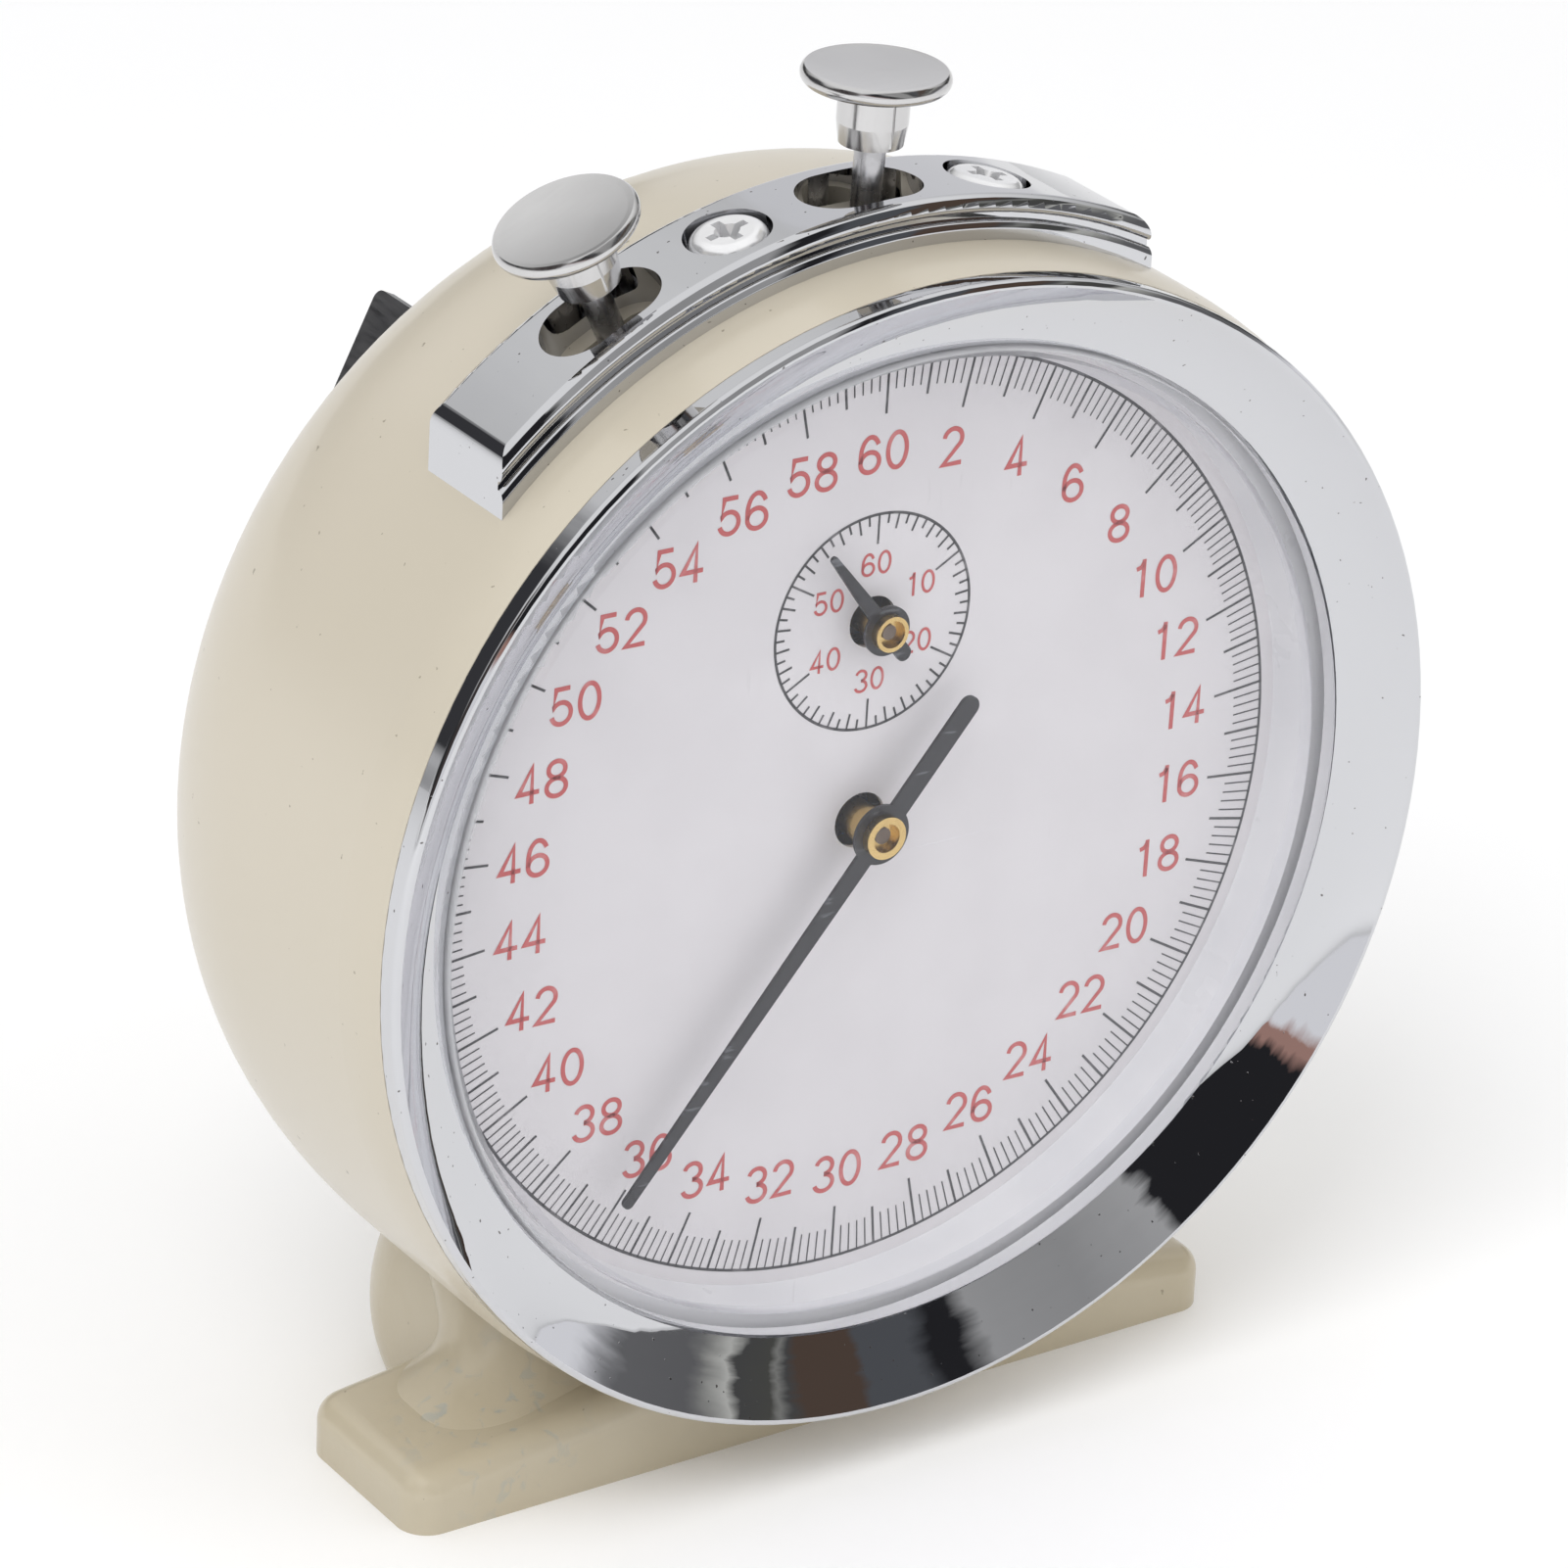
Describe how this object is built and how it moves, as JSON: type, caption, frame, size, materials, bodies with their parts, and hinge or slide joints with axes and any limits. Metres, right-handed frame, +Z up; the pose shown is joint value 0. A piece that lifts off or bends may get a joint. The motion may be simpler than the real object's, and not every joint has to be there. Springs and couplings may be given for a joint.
{
  "type": "mechanical stopwatch",
  "caption": "Table-top mechanical stop clock: cream drum on a foot, chrome ring, sixty-second dial with minute counter, two push buttons and a winding key behind.",
  "frame": {"origin": "on the table plane under the foot, straight below the dial's centre and in the plane of the dial's printed face", "axes": "+Z up; the dial faces -Y; +X is to the right of someone reading the dial"},
  "size_m": [0.125, 0.0875, 0.1477],
  "materials": {
    "cream_paint": "hard gloss enamel with fine orange peel",
    "chrome": "bright plated",
    "satin_chrome": "satin top, bright rim",
    "clear_plastic": "clear, polished, lightly scratched",
    "surround": "satin pale grey",
    "dial_paint": "satin white with printed scales",
    "black_paint": "satin black",
    "brass": "turned",
    "plate_brass": "brushed",
    "steel": "turned",
    "spring_steel": "blued",
    "zinc_steel": "bright zinc plated",
    "key_steel": "dark satin nickel"
  },
  "bodies": {
    "case": {"housing": "cream_paint", "foot": "cream_paint", "foot_screws": "zinc_steel", "foot_nuts": "zinc_steel", "bezel": "chrome", "crystal": "clear_plastic", "dial_surround": "surround", "dial_plate": "dial_paint", "dial_posts": "brass", "button_guard": "chrome", "guard_screws": "zinc_steel", "front_plate": "plate_brass", "back_plate": "plate_brass", "plate_pillars": "brass", "pillar_screws": "steel", "case_posts": "brass", "case_screws": "zinc_steel", "lever_studs": "steel", "click_screw": "steel", "click_spring": "spring_steel", "hairspring_stud": "brass", "balance_pivot_screws": "steel"},
    "seconds_work": {"seconds_hand": "black_paint", "seconds_hand_collet": "brass", "seconds_heart_cam": "steel", "seconds_arbor": "steel", "seconds_wheel": "brass"},
    "minute_work": {"minute_hand": "black_paint", "minute_hand_collet": "brass", "minute_heart_cam": "steel", "minute_arbor": "steel", "minute_wheel": "brass"},
    "third_work": {"third_arbor": "steel", "third_wheel": "brass"},
    "escape_work": {"escape_arbor": "steel", "escape_wheel": "brass"},
    "pallets": {"pallet_lever": "brass", "pallet_pins": "steel", "pallet_arbor": "steel"},
    "balance": {"balance_wheel": "brass", "balance_staff": "steel", "hairspring": "spring_steel"},
    "barrel": {"barrel_drum": "brass", "barrel_cover": "brass", "mainspring": "spring_steel"},
    "winding": {"barrel_arbor": "steel", "ratchet_wheel": "steel", "wind_key": "key_steel"},
    "pawl": {"click": "steel"},
    "start_push": {"start_button": "satin_chrome", "start_stem": "steel", "start_spring": "spring_steel"},
    "reset_push": {"reset_button": "satin_chrome", "reset_stem": "steel", "reset_spring": "spring_steel"},
    "start_lever": {"start_stop_lever": "steel", "balance_brake": "spring_steel"},
    "hammer": {"reset_hammer": "steel"}
  },
  "joints": [
    {"name": "seconds_turn", "type": "hinge", "parent": "case", "child": "seconds_work", "pos_m": [0, 0, 0.0686], "axis": [0, 1, 0], "continuous": true},
    {"name": "minute_turn", "type": "hinge", "parent": "case", "child": "minute_work", "pos_m": [0.0003, 0, 0.0904], "axis": [0, 1, 0], "continuous": true},
    {"name": "third_turn", "type": "hinge", "parent": "case", "child": "third_work", "pos_m": [0.0115, 0, 0.07869], "axis": [0, 1, 0], "continuous": true},
    {"name": "escape_turn", "type": "hinge", "parent": "case", "child": "escape_work", "pos_m": [-0.00824, 0, 0.05718], "axis": [0, 1, 0], "continuous": true},
    {"name": "barrel_turn", "type": "hinge", "parent": "case", "child": "barrel", "pos_m": [-0.02006, 0, 0.08528], "axis": [0, 1, 0], "continuous": true},
    {"name": "pallet_rock", "type": "hinge", "parent": "case", "child": "pallets", "pos_m": [-0.01195, 0, 0.05203], "axis": [0, 1, 0], "range_deg": [-5, 5]},
    {"name": "balance_swing", "type": "hinge", "parent": "case", "child": "balance", "pos_m": [-0.01868, 0, 0.0427], "axis": [0, 1, 0], "range_deg": [-220, 220]},
    {"name": "key_wind", "type": "hinge", "parent": "case", "child": "winding", "pos_m": [-0.02006, 0, 0.08528], "axis": [0, 1, 0], "range_deg": [-1800, 0]},
    {"name": "click_lift", "type": "hinge", "parent": "case", "child": "pawl", "pos_m": [-0.01219, 0, 0.07617], "axis": [0, 1, 0], "range_deg": [0, 12]},
    {"name": "start_press", "type": "slide", "parent": "case", "child": "start_push", "axis": [0.4195, 0, -0.9078], "range_m": [0, 0.004], "deforming": ["start_spring"]},
    {"name": "reset_press", "type": "slide", "parent": "case", "child": "reset_push", "axis": [-0.0349, 0, -0.9994], "range_m": [0, 0.004], "deforming": ["reset_spring"]},
    {"name": "start_lever_turn", "type": "hinge", "parent": "case", "child": "start_lever", "pos_m": [-0.04, 0, 0.06916], "axis": [0, 1, 0], "range_deg": [0, 6.51]},
    {"name": "hammer_turn", "type": "hinge", "parent": "case", "child": "hammer", "pos_m": [0.03011, 0, 0.07618], "axis": [0, 1, 0], "range_deg": [-8.02, 0]}
  ],
  "couplings": [
    {"joint": "third_turn", "follows": "seconds_turn", "ratio": -0.13333},
    {"joint": "minute_turn", "follows": "seconds_turn", "ratio": 0.016667},
    {"joint": "barrel_turn", "follows": "seconds_turn", "ratio": -0.0027778},
    {"joint": "escape_turn", "follows": "seconds_turn", "ratio": -10},
    {"joint": "start_lever_turn", "follows": "start_press", "rad_per_m": 28.4},
    {"joint": "hammer_turn", "follows": "reset_press", "rad_per_m": -35}
  ]
}
